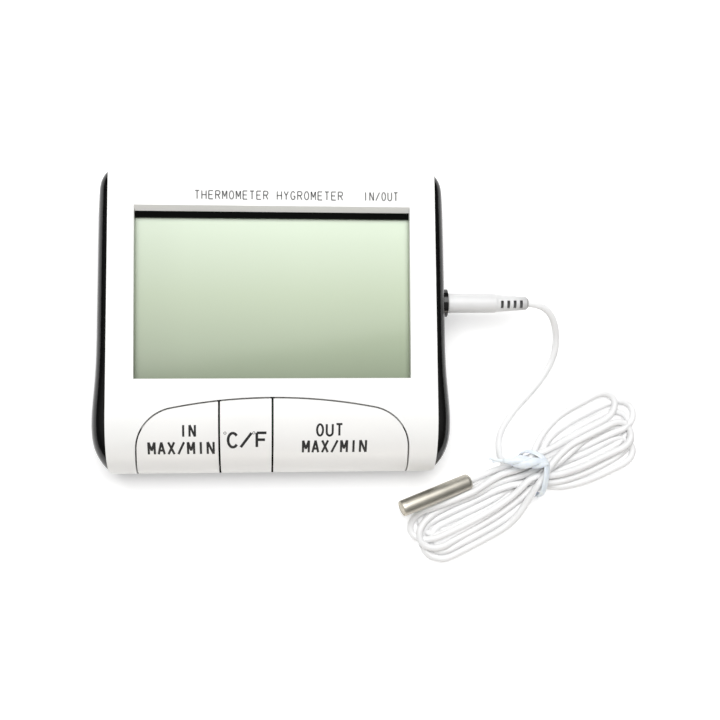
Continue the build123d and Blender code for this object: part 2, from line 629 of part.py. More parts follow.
def build():
    """Makes every piece in its place."""
    NODES["front_shell"] = front_shell()
    NODES["rear_shell"] = rear_shell()
    display()
    keys_and_switches()
    fasteners()
    electronics()
    jack()
    battery()
    NODES["battery_door"] = battery_door()
    NODES["stand_leg"] = stand_leg()
    plug()
    cord_tube("cord_lead", LEAD_ROUTE)
    cord_tube("cord_tail", TAIL_ROUTE)
    hank_and_tie()
    probe()


os.makedirs("parts", exist_ok=True)
build()
for name, shape in NODES.items():
    export_step(shape, f"parts/{name}.step")
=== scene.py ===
"""Looks of the digital maximum and minimum thermometer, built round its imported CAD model.

The frame is the CAD's: +Z out of the display, +Y the top of the case, +X the jack side.
Sizes and places are in millimetres, and MM turns them into Blender's metres.
"""
import math

import bmesh
import bpy
import numpy as np
from mathutils import Matrix, Vector


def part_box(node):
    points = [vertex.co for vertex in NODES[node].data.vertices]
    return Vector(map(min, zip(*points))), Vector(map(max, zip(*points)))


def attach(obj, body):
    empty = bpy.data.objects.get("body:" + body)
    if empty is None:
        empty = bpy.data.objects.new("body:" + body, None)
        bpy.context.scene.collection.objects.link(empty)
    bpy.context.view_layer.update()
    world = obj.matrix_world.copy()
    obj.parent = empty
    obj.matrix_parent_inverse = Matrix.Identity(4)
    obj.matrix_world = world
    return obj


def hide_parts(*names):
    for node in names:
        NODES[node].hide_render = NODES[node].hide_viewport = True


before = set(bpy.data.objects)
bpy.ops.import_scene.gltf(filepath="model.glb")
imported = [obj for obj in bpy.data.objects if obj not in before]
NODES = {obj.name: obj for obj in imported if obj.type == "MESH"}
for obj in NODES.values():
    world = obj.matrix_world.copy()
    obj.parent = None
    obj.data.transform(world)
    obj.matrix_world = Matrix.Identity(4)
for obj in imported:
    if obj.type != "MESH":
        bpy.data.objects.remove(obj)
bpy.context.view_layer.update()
MM = 0.001

# ---------------------------------------------------------------- camera and light
# Camera: its place, its lens on a 36 mm sensor, and its turns in degrees, in order
CAMERA_PLACE = Vector((-4.5, -29.4, 365.3))
CAMERA_LENS = 56.6
CAMERA_SENSOR = 36.0
CAMERA_TURNS = (("Y", -5.13), ("X", 2.87), ("Z", -0.35))

# Lights: place, aim and size in metres, power in watts, colour
LIGHTS = {
    "overhead": ((-0.03, 0.31, 0.74), (0.02, -0.02, 0), (0.8, 0.6), 7.4, (1, 1, 1)),
    "front_fill": ((0.05, -0.75, 0.14), (0.02, -0.05, 0.01), (0.6, 0.2), 1.2, (1.0, 0.93, 0.84)),
}

# Surroundings, as (height of the direction, 0 at the horizon and 1 straight up; grey)
SKY = ((0.35, 0.06), (0.8, 1.0))
SKY_STRENGTH = 0.40

FLOOR_HALF = 3000.0
FLOOR_GREY = 0.88
FLOOR_GLOW = 0.35

# ---------------------------------------------------------------- sizes of the object
# The front face is flat down to CHIN_START, then falls away in a quarter ellipse
CHIN_START = -28.0
CHIN_RUN = 18.6
CHIN_DROP = 16.0
PARTING = 8.0

# The plug's axis, as (y, z), how near to it the slots of its strain relief reach, and the depth
# over which the painted shade in the slots fades out from there
JACK_AXIS = (6.4, 11.5)
SLOT_SHADE_FLOOR = 1.5
SLOT_SHADE_DEPTH = 0.9

PROBE_TIP = Vector((40.6, -58.6, 7.6))
PROBE_TAIL = Vector((63.4, -50.3, 2.7))
PROBE_RADIUS = 2.6

CORD_DIAMETER = 2.2
CORD_RADIUS = CORD_DIAMETER / 2

# The free stretches of the lead, as in the CAD
LEAD_ROUTE = [
    (81.0, 6.4, 11.5), (85.0, 6.0, 11.2), (88.6, 3.9, 9.8), (91.0, 0.2, 7.2),
    (92.3, -4.3, 4.2), (92.0, -9.6, 2.0), (89.4, -15.2, 1.2), (85.2, -20.6, 1.2),
    (80.3, -25.6, 1.2), (76.0, -30.8, 1.2), (73.4, -36.0, 1.2), (73.2, -41.0, 1.5),
    (75.4, -45.2, 1.8),
]
TAIL_ROUTE = [(63.4, -50.3, 2.7), (67.2, -48.8, 2.1), (71.0, -47.2, 2.0)]

# The tied hank is measured from the middle of its tie: along it, across it, and up
HANK_CENTRE = (83.6, -48.4)
HANK_TURN = math.radians(26.0)
# Its folds, as (start across, finish across, reach along, layer)
RIGHT_LOOPS = [
    (6.8, -2.8, 37.5, 0), (-10.6, -2.0, 34.5, 0), (9.2, 0.0, 39.5, 1),
    (-8.4, 0.4, 35.6, 1), (3.4, -5.6, 36.6, 2), (13.0, 3.8, 36.0, 2),
]
LEFT_LOOPS = [
    (-1.6, -10.2, 40.0, 0), (-3.4, 5.2, 39.5, 0), (2.4, -8.0, 41.5, 1),
    (1.3, -11.2, 42.0, 1), (-4.6, 5.6, 42.6, 2),
]
# Where each pass of cord goes through the tie, as (across, layer)
TIE_SLOTS = [
    (4.5, 0), (-1.5, 0), (-4.5, 0), (1.5, 0), (2.9, 1), (0.1, 1),
    (-4.4, 1), (-2.2, 1), (-3.2, 2), (-1.0, 2), (3.6, 2), (5.2, 1),
]
LAYER_RISE = 2.0    # from one layer of cord to the next
TIE_LIFT = 1.1      # how far the tie lifts the passes
FAN_START = 9.0     # along, where the passes begin to fan out from the tie
FAN_SHARE = 0.3     # how much of the rest of their spread they have there
FAN_LIFT = 0.7
FAN_END = 18.0      # along, where they have nearly all of it
FAN_FULLNESS = 0.96
FOLD_BOW = 1.2      # length of a fold's end over half its width
TURN_STEP = 1.7     # between the points along the turns

# How the turns are pushed apart, round by round
SETTLE_ROUNDS = 120
NEAR_POINTS = 4                     # points this near along the cord don't push each other
PASS_SPACING = 1.03 * CORD_DIAMETER
PROBE_SPACING = PROBE_RADIUS + CORD_RADIUS + 0.1
PASS_SHARE = 0.25                   # of an overlap between two passes, in one round
PROBE_SHARE = 0.5                   # of an overlap with the probe
EVEN_SHARE = 0.3                    # of a point's drift from its two neighbours
SINK = 0.02                         # towards the table
REST_HEIGHT = CORD_RADIUS + 0.05

# The twist tie: its band, round the waist of the hank
BAND_WIDTH = 2.7
BAND_THICKNESS = 1.0
BAND_MIDDLE = (0.8, 0.2, 4.0)
BAND_PLACES = [
    (-0.9, -7.3, 3.4), (-0.1, -6.6, 5.8), (1.6, -4.4, 7.4), (3.6, -1.2, 8.3),
    (5.0, 1.9, 8.2), (4.4, 4.9, 7.3), (2.4, 7.2, 5.4), (0.6, 7.7, 3.0),
    (-0.6, 6.2, 1.1), (-1.3, 3.0, 0.45), (-1.6, 0.0, 0.4), (-1.5, -3.4, 0.45),
    (-1.3, -6.0, 1.3), (-0.9, -7.3, 3.4),
]
# Its two ends, twisted together across the top, and the prongs that they end in
TWIST_START, TWIST_END = Vector((-7.2, 8.7, 7.9)), Vector((5.3, 1.4, 8.9))
TWIST_TURNS = 1.15
TWIST_PHASE = 0.4
TWIST_STEPS = 48
TWIST_SPREAD = (0.95, 0.5)      # of its two strands from the middle: across, up
TWIST_HUMP = 0.7
STRAND_WIDTH = (0.9, 2.0)       # at its tips, and what the middle adds
STRAND_THICKNESS = (0.7, 0.9)
PRONG_WIDTH = 0.9
PRONG_THICKNESS = 0.7
PRONG_TIPS = [(-10.8, 11.4, 7.6), (-10.3, 9.9, 7.2)]
PRONG_MIDDLES = [(-8.6, 9.7, 7.8), (-8.6, 9.4, 7.8)]
PRONG_ROOT = (-6.4, 8.3, 8.0)
UP = Vector((0, 0, 1))

# Printed strokes stand this far out of the face, and reach this far into it
INK_PROUD = 0.03
INK_SUNK = 0.02
INK_STEP = 0.6          # between a stroke's sections, which follow the face
ARC_STEPS = 14

# The temperature units: how far their signs are shifted, and their small degree rings
LETTER_SHIFT = 0.6
SLASH_SHIFT = 0.25
RING_RADIUS = 0.36
RING_STROKE = 0.16

# Sides of the round pieces and of the strips, and how much the strips' edges are drawn in
LATHE_SIDES = 64
RIBBON_SIDES = 16
RIBBON_PINCH = 0.12

# ---------------------------------------------------------------- tones
# The blank display's painted reflection and shade: pale at its top, dimmer at its foot and
# towards its left, as (share of its height or width, colour)
DISPLAY_PAINTED_LIGHT_RISE = [
    (0.0, (0.206, 0.252, 0.164)), (0.2, (0.303, 0.366, 0.242)), (0.5, (0.398, 0.477, 0.324)),
    (0.8, (0.502, 0.592, 0.442)), (1.0, (0.590, 0.690, 0.535)),
]
DISPLAY_PAINTED_SHADE_SIDE = [(0.0, (0.83, 0.83, 0.83)), (0.2, (0.94, 0.94, 0.94)), (0.6, (1, 1, 1))]
SLEEVE_GREEN = (0.03, 0.09, 0.06)
SLEEVE_PALE = (0.62, 0.62, 0.60)
# Painted shade in the slots of the plug's strain relief
SLOT_PAINTED_SHADE = (0.16, 0.16, 0.16, 1)


# ---------------------------------------------------------------- camera and studio
def make_camera():
    """Camera almost straight above the case, a little below and left of its middle."""
    data = bpy.data.cameras.new("camera")
    data.lens = CAMERA_LENS
    data.sensor_width = CAMERA_SENSOR
    data.clip_start = 0.01
    camera = bpy.data.objects.new("camera", data)
    stand = Matrix.Translation(CAMERA_PLACE * MM)
    for axis, degrees in CAMERA_TURNS:
        stand = stand @ Matrix.Rotation(math.radians(degrees), 4, axis)
    camera.matrix_world = stand
    bpy.context.scene.collection.objects.link(camera)
    bpy.context.scene.camera = camera


def area_light(name, place, aim, size, power, colour):
    """Soft rectangular light at place, turned towards aim."""
    data = bpy.data.lights.new(name, "AREA")
    data.shape = "RECTANGLE"
    data.size, data.size_y = size
    data.energy = power
    data.color = colour
    light = bpy.data.objects.new(name, data)
    place = Vector(place)
    facing = (Vector(aim) - place).to_track_quat("-Z", "Y")
    light.matrix_world = Matrix.Translation(place) @ facing.to_matrix().to_4x4()
    bpy.context.scene.collection.objects.link(light)


def make_sky():
    """Surroundings that are bright overhead and dark towards the horizon and below."""
    world = bpy.data.worlds.new("studio")
    bpy.context.scene.world = world
    world.use_nodes = True
    tree = world.node_tree
    background = tree.nodes["Background"]
    where = tree.nodes.new("ShaderNodeTexCoord")
    split = tree.nodes.new("ShaderNodeSeparateXYZ")
    ramp = tree.nodes.new("ShaderNodeValToRGB")
    for element, (height, grey) in zip(ramp.color_ramp.elements, SKY):
        element.position = height
        element.color = (grey, grey, grey, 1)
    tree.links.new(where.outputs["Generated"], split.inputs[0])
    tree.links.new(split.outputs["Z"], ramp.inputs["Fac"])
    tree.links.new(ramp.outputs["Color"], background.inputs["Color"])
    background.inputs["Strength"].default_value = SKY_STRENGTH


def make_floor():
    """Wide white floor that glows a little, so that it stays white away from the lights."""
    mesh = bpy.data.meshes.new("floor")
    half = FLOOR_HALF * MM
    corners = [(-half, -half, 0), (half, -half, 0), (half, half, 0), (-half, half, 0)]
    mesh.from_pydata(corners, [], [(0, 1, 2, 3)])
    floor = bpy.data.objects.new("floor", mesh)
    bpy.context.scene.collection.objects.link(floor)
    paint, _, shader = new_material("floor_paint", (FLOOR_GREY,) * 3, 0.9)
    shader.inputs["Emission Color"].default_value = (1, 1, 1, 1)
    shader.inputs["Emission Strength"].default_value = FLOOR_GLOW
    shader.inputs["Specular IOR Level"].default_value = 0.1
    mesh.materials.append(paint)


def make_studio():
    """White floor under a bright ceiling, with an overhead light and a low fill in front."""
    bpy.context.scene.view_settings.view_transform = "Standard"
    make_sky()
    make_floor()
    for name, light in LIGHTS.items():
        area_light(name, *light)


# ---------------------------------------------------------------- materials
def new_material(name, colour, roughness, metallic=0.0, coat=0.0):
    """Principled material, and its tree and shader."""
    made = bpy.data.materials.new(name)
    made.use_nodes = True
    shader = made.node_tree.nodes["Principled BSDF"]
    shader.inputs["Base Color"].default_value = (*colour, 1)
    shader.inputs["Roughness"].default_value = roughness
    shader.inputs["Metallic"].default_value = metallic
    shader.inputs["Coat Weight"].default_value = coat
    shader.inputs["Coat Roughness"].default_value = 0.08
    return made, made.node_tree, shader


def noise(tree, scale, detail=3.0):
    """Noise in object space."""
    where = tree.nodes.new("ShaderNodeTexCoord")
    texture = tree.nodes.new("ShaderNodeTexNoise")
    texture.inputs["Scale"].default_value = scale
    texture.inputs["Detail"].default_value = detail
    tree.links.new(where.outputs["Object"], texture.inputs["Vector"])
    return texture.outputs["Fac"]


def tint(tree, shader, fac, low, high):
    """Base colour that wanders between two colours; returns its socket."""
    ramp = tree.nodes.new("ShaderNodeValToRGB")
    for element, share, colour in zip(ramp.color_ramp.elements, (0.3, 0.7), (low, high)):
        element.position = share
        element.color = (*colour, 1)
    tree.links.new(fac, ramp.inputs["Fac"])
    tree.links.new(ramp.outputs["Color"], shader.inputs["Base Color"])
    return ramp.outputs["Color"]


def along_axis(tree, node, axis, stops, interpolation="LINEAR"):
    """Colour that changes along one axis of a CAD node, from (share of its length, colour)."""
    low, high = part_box(node)
    where = tree.nodes.new("ShaderNodeTexCoord")
    split = tree.nodes.new("ShaderNodeSeparateXYZ")
    spread = tree.nodes.new("ShaderNodeMapRange")
    spread.inputs["From Min"].default_value = low[axis]
    spread.inputs["From Max"].default_value = high[axis]
    ramp = tree.nodes.new("ShaderNodeValToRGB")
    ramp.color_ramp.interpolation = interpolation
    for _ in stops[2:]:
        ramp.color_ramp.elements.new(0.5)
    for element, (share, colour) in zip(ramp.color_ramp.elements, stops):
        element.position = share
        element.color = (*colour, 1)
    tree.links.new(where.outputs["Object"], split.inputs[0])
    tree.links.new(split.outputs[axis], spread.inputs["Value"])
    tree.links.new(spread.outputs["Result"], ramp.inputs["Fac"])
    return ramp.outputs["Color"]


def mixed(tree, fac, first, second, blend="MIX"):
    """Two colours mixed; each input is a value or a socket."""
    node = tree.nodes.new("ShaderNodeMixRGB")
    node.blend_type = blend
    for socket, value in zip(node.inputs, (fac, first, second)):
        if isinstance(value, bpy.types.NodeSocket):
            tree.links.new(value, socket)
        else:
            socket.default_value = value
    return node.outputs["Color"]


def grain(tree, shader, fac, depth, strength=0.5):
    """Fine relief from a noise, depth in metres."""
    bump = tree.nodes.new("ShaderNodeBump")
    bump.inputs["Strength"].default_value = strength
    bump.inputs["Distance"].default_value = depth
    tree.links.new(fac, bump.inputs["Height"])
    tree.links.new(bump.outputs["Normal"], shader.inputs["Normal"])


def vary_roughness(tree, shader, fac, low, high):
    """Roughness that drifts between two values, as handled plastic does."""
    spread = tree.nodes.new("ShaderNodeMapRange")
    spread.inputs["To Min"].default_value = low
    spread.inputs["To Max"].default_value = high
    tree.links.new(fac, spread.inputs["Value"])
    tree.links.new(spread.outputs["Result"], shader.inputs["Roughness"])


def skin_glow(shader, weight, radius):
    """Light that passes a little way under the skin of a soft plastic, radius in metres."""
    shader.inputs["Subsurface Weight"].default_value = weight
    shader.inputs["Subsurface Radius"].default_value = radius
    shader.inputs["Subsurface Scale"].default_value = 0.5


def white_plastic(name, low, high, rough):
    """Satin white moulding with a very fine spark-eroded grain."""
    made, tree, shader = new_material(name, high, rough)
    tint(tree, shader, noise(tree, 30), low, high)
    vary_roughness(tree, shader, noise(tree, 90), rough - 0.05, rough + 0.07)
    grain(tree, shader, noise(tree, 6000, 2), 0.00002, 0.25)
    return made


def black_plastic(name, rough, sheen, palest=0.006):
    """Black moulding with faint flow marks; sheen is the strength of its reflections."""
    made, tree, shader = new_material(name, (palest,) * 3, rough)
    shader.inputs["Specular IOR Level"].default_value = sheen
    tint(tree, shader, noise(tree, 25), (palest / 2,) * 3, (palest,) * 3)
    vary_roughness(tree, shader, noise(tree, 60, 4), rough - 0.04, rough + 0.06)
    grain(tree, shader, noise(tree, 900, 2), 0.00003, 0.2)
    return made


def display_green():
    """Blank display: pale green at its top from a painted reflection, dimmer at its foot and a
    little to its left from painted shade.
    """
    made, tree, shader = new_material("display_green", (0.5, 0.6, 0.42), 0.32, coat=0.3)
    # painted reflection and shade: paler up the display, dimmer towards its left side
    rise = along_axis(tree, "lcd_glass", 1, DISPLAY_PAINTED_LIGHT_RISE)
    side = along_axis(tree, "lcd_glass", 0, DISPLAY_PAINTED_SHADE_SIDE)
    shade = mixed(tree, 1.0, rise, side, "MULTIPLY")
    tree.links.new(shade, shader.inputs["Base Color"])
    grain(tree, shader, noise(tree, 9000, 2), 0.00001, 0.2)
    return made


def white_vinyl(name, level, glow):
    """Soft white vinyl with slight waviness; also returns its tree, shader and colour."""
    made, tree, shader = new_material(name, (level,) * 3, 0.38)
    colour = tint(tree, shader, noise(tree, 120), (level * 0.93,) * 3, (level,) * 3)
    skin_glow(shader, glow, (0.002, 0.002, 0.002))
    grain(tree, shader, noise(tree, 1500, 3), 0.00004, 0.25)
    return made, tree, shader, colour


def grip_white():
    """White vinyl of the plug, with painted shade near the plug's axis, which shows only in its
    slots.
    """
    made, tree, shader, pale = white_vinyl("grip_white", 0.76, 0.0)
    where = tree.nodes.new("ShaderNodeTexCoord")
    off_axis = tree.nodes.new("ShaderNodeVectorMath")
    off_axis.operation = "SUBTRACT"
    off_axis.inputs[1].default_value = (0, JACK_AXIS[0] * MM, JACK_AXIS[1] * MM)
    flat = tree.nodes.new("ShaderNodeVectorMath")
    flat.operation = "MULTIPLY"
    flat.inputs[1].default_value = (0, 1, 1)
    radius = tree.nodes.new("ShaderNodeVectorMath")
    radius.operation = "LENGTH"
    depth = tree.nodes.new("ShaderNodeMapRange")
    depth.inputs["From Min"].default_value = SLOT_SHADE_FLOOR * MM
    depth.inputs["From Max"].default_value = (SLOT_SHADE_FLOOR + SLOT_SHADE_DEPTH) * MM
    tree.links.new(where.outputs["Object"], off_axis.inputs[0])
    tree.links.new(off_axis.outputs[0], flat.inputs[0])
    tree.links.new(flat.outputs[0], radius.inputs[0])
    tree.links.new(radius.outputs["Value"], depth.inputs["Value"])
    # painted shade in the slots: dark grey near the axis, fading to the vinyl's white further out
    colour = mixed(tree, depth.outputs["Result"], SLOT_PAINTED_SHADE, pale)
    tree.links.new(colour, shader.inputs["Base Color"])
    return made


def plated(name, rough, colour):
    """Plated metal with fine handling marks."""
    made, tree, shader = new_material(name, colour, rough, metallic=1.0)
    tint(tree, shader, noise(tree, 250, 4), tuple(c * 0.88 for c in colour), colour)
    vary_roughness(tree, shader, noise(tree, 500, 4), rough - 0.06, rough + 0.08)
    grain(tree, shader, noise(tree, 2500, 3), 0.00001, 0.25)
    return made


def tie_plastic():
    """Pale blue-white plastic skin of the twist tie, a little translucent."""
    made, tree, shader = new_material("tie_plastic", (0.80, 0.86, 0.91), 0.3)
    tint(tree, shader, noise(tree, 400), (0.74, 0.80, 0.86), (0.84, 0.89, 0.93))
    skin_glow(shader, 0.3, (0.001, 0.001, 0.0012))
    grain(tree, shader, noise(tree, 1800, 3), 0.00005, 0.4)
    return made


def mottled(name, low, high, rough):
    """General material for small parts: two close colours and a light relief."""
    made, tree, shader = new_material(name, high, rough)
    tint(tree, shader, noise(tree, 300, 4), low, high)
    grain(tree, shader, noise(tree, 1800, 3), 0.00003, 0.4)
    return made


def board_green():
    """Solder mask with faint copper tracks under it."""
    made, tree, shader = new_material("board_green", (0.03, 0.2, 0.06), 0.35)
    where = tree.nodes.new("ShaderNodeTexCoord")
    bricks = tree.nodes.new("ShaderNodeTexBrick")
    bricks.inputs["Scale"].default_value = 160
    bricks.inputs["Color1"].default_value = (0.008, 0.05, 0.02, 1)
    bricks.inputs["Color2"].default_value = (0.010, 0.06, 0.022, 1)
    bricks.inputs["Mortar"].default_value = (0.02, 0.10, 0.035, 1)
    tree.links.new(where.outputs["Object"], bricks.inputs["Vector"])
    tree.links.new(bricks.outputs["Color"], shader.inputs["Base Color"])
    grain(tree, shader, noise(tree, 2000), 0.00002, 0.3)
    return made


def cell_sleeve():
    """Plain grey-green sleeve of the cell, with a pale band at its positive end."""
    made, tree, shader = new_material("cell_sleeve", SLEEVE_GREEN, 0.3, coat=0.4)
    stops = [(0.0, SLEEVE_GREEN), (0.8, SLEEVE_PALE)]
    bands = along_axis(tree, "battery_cell", 0, stops, "CONSTANT")
    tree.links.new(bands, shader.inputs["Base Color"])
    grain(tree, shader, noise(tree, 700), 0.00002, 0.2)
    return made


def make_materials():
    """Every material, by a short name."""
    return {
        "case": white_plastic("case_white", (0.86, 0.86, 0.85), (0.90, 0.90, 0.885), 0.36),
        "keys": white_plastic("key_white", (0.86, 0.855, 0.84), (0.90, 0.895, 0.88), 0.34),
        "black": black_plastic("case_black", 0.14, 0.4),
        "frame": black_plastic("frame_black", 0.42, 0.012, 0.002),
        "display": display_green(),
        "cord": white_vinyl("cord_white", 0.885, 0.15)[0],
        "grip": grip_white(),
        "nickel": plated("probe_nickel", 0.44, (0.60, 0.572, 0.50)),
        "steel": plated("screw_steel", 0.30, (0.56, 0.56, 0.57)),
        "tie": tie_plastic(),
        "resin": mottled("probe_resin", (0.62, 0.56, 0.44), (0.76, 0.70, 0.58), 0.45),
        "ink": mottled("legend_ink", (0.010, 0.010, 0.011), (0.018, 0.018, 0.019), 0.45),
        "grey_ink": mottled("header_ink", (0.13, 0.13, 0.13), (0.17, 0.17, 0.17), 0.5),
        "board": board_green(),
        "cell": cell_sleeve(),
        "red": mottled("wire_red", (0.45, 0.01, 0.01), (0.6, 0.02, 0.02), 0.4),
        "strip": mottled("zebra_rubber", (0.55, 0.55, 0.52), (0.75, 0.75, 0.7), 0.7),
        "foil": plated("reflector_foil", 0.45, (0.62, 0.64, 0.60)),
    }


def dress_cad(materials):
    """Gives its material to each CAD node that stays."""
    groups = {
        "case": ["front_shell", "humidity_sensor"],
        "keys": ["in_key", "unit_key", "out_key"],
        "black": ["rear_shell", "battery_door", "stand_leg"],
        "frame": ["lcd_frame", "jack_socket", "chip_blob", "chip_parts", "black_wire",
                  "plug_insulators", "in_plunger", "unit_plunger", "out_plunger"],
        "display": ["lcd_glass"],
        "foil": ["lcd_reflector"],
        "strip": ["zebra_strip"],
        "board": ["circuit_board"],
        "cell": ["battery_cell"],
        "red": ["red_wire"],
        "resin": ["room_thermistor"],
        "nickel": ["plug_pin"],
        "grip": ["plug_grip"],
        "steel": ["case_screws", "board_screws", "in_switch", "unit_switch", "out_switch",
                  "timing_crystal", "capacitor", "jack_contacts", "battery_spring",
                  "battery_plate"],
    }
    for name, nodes in groups.items():
        for node in nodes:
            slots = NODES[node].data.materials
            slots.clear()
            slots.append(materials[name])


# ---------------------------------------------------------------- mesh helpers
def link_mesh(name, verts, faces, material):
    """New smooth object from vertices in metres and faces."""
    mesh = bpy.data.meshes.new(name)
    mesh.from_pydata([tuple(v) for v in verts], [], faces)
    mesh.polygons.foreach_set("use_smooth", [True] * len(mesh.polygons))
    mesh.materials.append(material)
    mesh.update()
    made = bpy.data.objects.new(name, mesh)
    bpy.context.scene.collection.objects.link(made)
    return made


def face_normals_out(piece):
    """Turns every face of a closed piece outwards."""
    work = bmesh.new()
    work.from_mesh(piece.data)
    bmesh.ops.recalc_face_normals(work, faces=work.faces)
    work.to_mesh(piece.data)
    work.free()


def rings_to_mesh(name, rings, material, closed=False):
    """Skin over rings of points; an open run is capped at both ends."""
    count = len(rings[0])
    verts = [p for ring in rings for p in ring]
    faces = []
    for i in range(len(rings) if closed else len(rings) - 1):
        a, b = i * count, ((i + 1) % len(rings)) * count
        for k in range(count):
            n = (k + 1) % count
            faces.append((a + k, a + n, b + n, b + k))
    if not closed:
        faces.append(tuple(reversed(range(count))))
        faces.append(tuple(range((len(rings) - 1) * count, len(rings) * count)))
    made = link_mesh(name, verts, faces, material)
    face_normals_out(made)
    return made


def circle(count):
    """Cosine and sine of evenly spaced angles round a full circle."""
    angles = [2 * math.pi * k / count for k in range(count)]
    return [(math.cos(a), math.sin(a)) for a in angles]


def lathe(name, start, along, outline, material):
    """Round piece on the line from start: outline is (distance, radius) pairs."""
    axis = along.normalized()
    across = axis.orthogonal().normalized()
    other = axis.cross(across)
    rings = []
    for distance, radius in outline:
        centre = start + axis * distance
        rings.append([(centre + (across * c + other * s) * radius) * MM
                      for c, s in circle(LATHE_SIDES)])
    return rings_to_mesh(name, rings, material)


def ribbon(name, centres, outward, widths, thicknesses, material, closed=False):
    """Flat strip with rounded edges; outward is the way its face looks at each centre."""
    rings = []
    count = len(centres)
    for i, centre in enumerate(centres):
        before = centres[i - 1] if closed or i else centre
        after = centres[(i + 1) % count] if closed or i < count - 1 else centre
        run = (after - before).normalized()
        up = (outward[i] - run * outward[i].dot(run)).normalized()
        side = run.cross(up)
        w, t = widths[i] / 2, thicknesses[i] / 2
        rings.append([
            (centre + side * w * c * (1 - RIBBON_PINCH * abs(s)) + up * t * s) * MM
            for c, s in circle(RIBBON_SIDES)])
    return rings_to_mesh(name, rings, material, closed)


def smooth_line(points, step):
    """Points step apart on a smooth curve through the given ones."""
    p = np.array([tuple(q) for q in points], float)
    p = np.vstack([2 * p[0] - p[1], p, 2 * p[-1] - p[-2]])
    out = []
    for a, b, c, d in zip(p, p[1:], p[2:], p[3:]):
        count = max(int(np.linalg.norm(c - b) / step), 1)
        for t in np.arange(count) / count:
            out.append(0.5 * (2 * b + (c - a) * t + (2 * a - 5 * b + 4 * c - d) * t ** 2
                              + (3 * b - a - 3 * c + d) * t ** 3))
    out.append(p[-2])
    return np.array(out)


# ---------------------------------------------------------------- the probe lead
def from_hank(place):
    """A point in the CAD's frame from (along, across, height), measured from the tie."""
    along, across, height = place
    c, s = math.cos(HANK_TURN), math.sin(HANK_TURN)
    return Vector((HANK_CENTRE[0] + along * c - across * s,
                   HANK_CENTRE[1] + along * s + across * c, height))


def loop_points(side, loop, slots):
    """One fold of the hank, from one slot of the tie round to the next, on side 1 or -1."""
    start, finish, reach, layer = loop
    middle, half = (start + finish) / 2, (start - finish) / 2
    bow = FOLD_BOW * abs(half)
    height = CORD_RADIUS + LAYER_RISE * layer
    near, far = [(a + b) / 2 for a, b in zip(slots, (start, finish))]
    outline = [
        (FAN_START, near + FAN_SHARE * (start - near), height + FAN_LIFT),
        (FAN_END, middle + FAN_FULLNESS * half, height),
    ]
    for degrees in (90, 60, 30, 0, -30, -60, -90):
        t = math.radians(degrees)
        # the end of the fold sinks towards the table
        sunk = (0.85 - 0.4 * math.cos(t)) * height + 0.6 * math.cos(t) + 0.2
        outline.append((reach - bow * (1 - math.cos(t)), middle + half * math.sin(t), sunk))
    outline += [
        (FAN_END, middle - FAN_FULLNESS * half, height),
        (FAN_START, far + FAN_SHARE * (finish - far), height + FAN_LIFT),
    ]
    return [(side * along, across, z) for along, across, z in outline]


def hank_points():
    """The folded turns from where the lead comes in to where the probe's tail leaves."""
    places = []
    for turn, (across, layer) in enumerate(TIE_SLOTS):
        if turn > 0:
            loops, side = (RIGHT_LOOPS, 1) if turn % 2 else (LEFT_LOOPS, -1)
            slots = (TIE_SLOTS[turn - 1][0], across)
            places += loop_points(side, loops[(turn - 1) // 2], slots)
        places.append((0.0, across, CORD_RADIUS + TIE_LIFT + LAYER_RISE * layer))
    return [from_hank(p) for p in places]


def settle(points):
    """Lets the turns push each other and the probe apart, so that they lie side by side."""
    shape = points.copy()
    p = points.copy()
    order = np.arange(len(p))
    neighbours = np.abs(order[:, None] - order[None, :]) < NEAR_POINTS
    free = np.clip(np.minimum(order, order[::-1]) / NEAR_POINTS, 0, 1)
    tip, along = np.array(PROBE_TIP), np.array(PROBE_TAIL - PROBE_TIP)
    for _ in range(SETTLE_ROUNDS):
        # away from the other passes of cord
        gap = p[:, None] - p[None, :]
        distance = np.sqrt((gap ** 2).sum(2)) + 1e-9
        push = np.clip(PASS_SPACING - distance, 0, None)
        push[neighbours] = 0
        move = (gap * (push / distance)[..., None]).sum(1) * PASS_SHARE
        # out of the probe
        share = np.clip(((p - tip) @ along) / (along @ along), 0, 1)
        away = p - tip - share[:, None] * along
        reach = np.linalg.norm(away, axis=1)
        deep = np.clip(PROBE_SPACING - reach, 0, None)
        move += away / reach[:, None] * deep[:, None] * PROBE_SHARE
        # evenly with its neighbours along the cord, and down on to the table
        drift = p - shape
        move[1:-1] += EVEN_SHARE * ((drift[:-2] + drift[2:]) / 2 - drift[1:-1])
        move[:, 2] -= SINK
        p += move * free[:, None]
        p[:, 2] = np.maximum(p[:, 2], REST_HEIGHT)
    return p


def make_cord(materials):
    """The whole lead on one smooth line, from the strain relief through the hank to the probe."""
    lead = [Vector(p) for p in LEAD_ROUTE]
    tail = [Vector(p) for p in reversed(TAIL_ROUTE)]
    line = smooth_line([*lead[-2:], *hank_points(), tail[0]], TURN_STEP)
    # the last two points lie too close to the tail's first
    turns = [Vector(p) for p in settle(line)[:-2]]
    route = [*lead[:-2], *turns, *tail]
    curve = bpy.data.curves.new("probe_cord", "CURVE")
    curve.dimensions = "3D"
    curve.bevel_depth = CORD_RADIUS * MM
    curve.bevel_resolution = 6
    curve.use_fill_caps = True
    curve.resolution_u = 6
    spline = curve.splines.new("NURBS")
    spline.points.add(len(route) - 1)
    for point, place in zip(spline.points, route):
        point.co = (*(place * MM), 1)
    spline.order_u = 3
    spline.use_endpoint_u = True
    curve.materials.append(materials["cord"])
    cord = bpy.data.objects.new("probe_cord", curve)
    bpy.context.scene.collection.objects.link(cord)
    return cord


def make_band(material):
    """The tie's flat band, closed round the waist of the hank."""
    line = [from_hank(p) for p in smooth_line(BAND_PLACES, 0.8)][:-1]
    middle = from_hank(BAND_MIDDLE)
    count = len(line)
    return ribbon("twist_tie", line, [p - middle for p in line], [BAND_WIDTH] * count,
                  [BAND_THICKNESS] * count, material, closed=True)


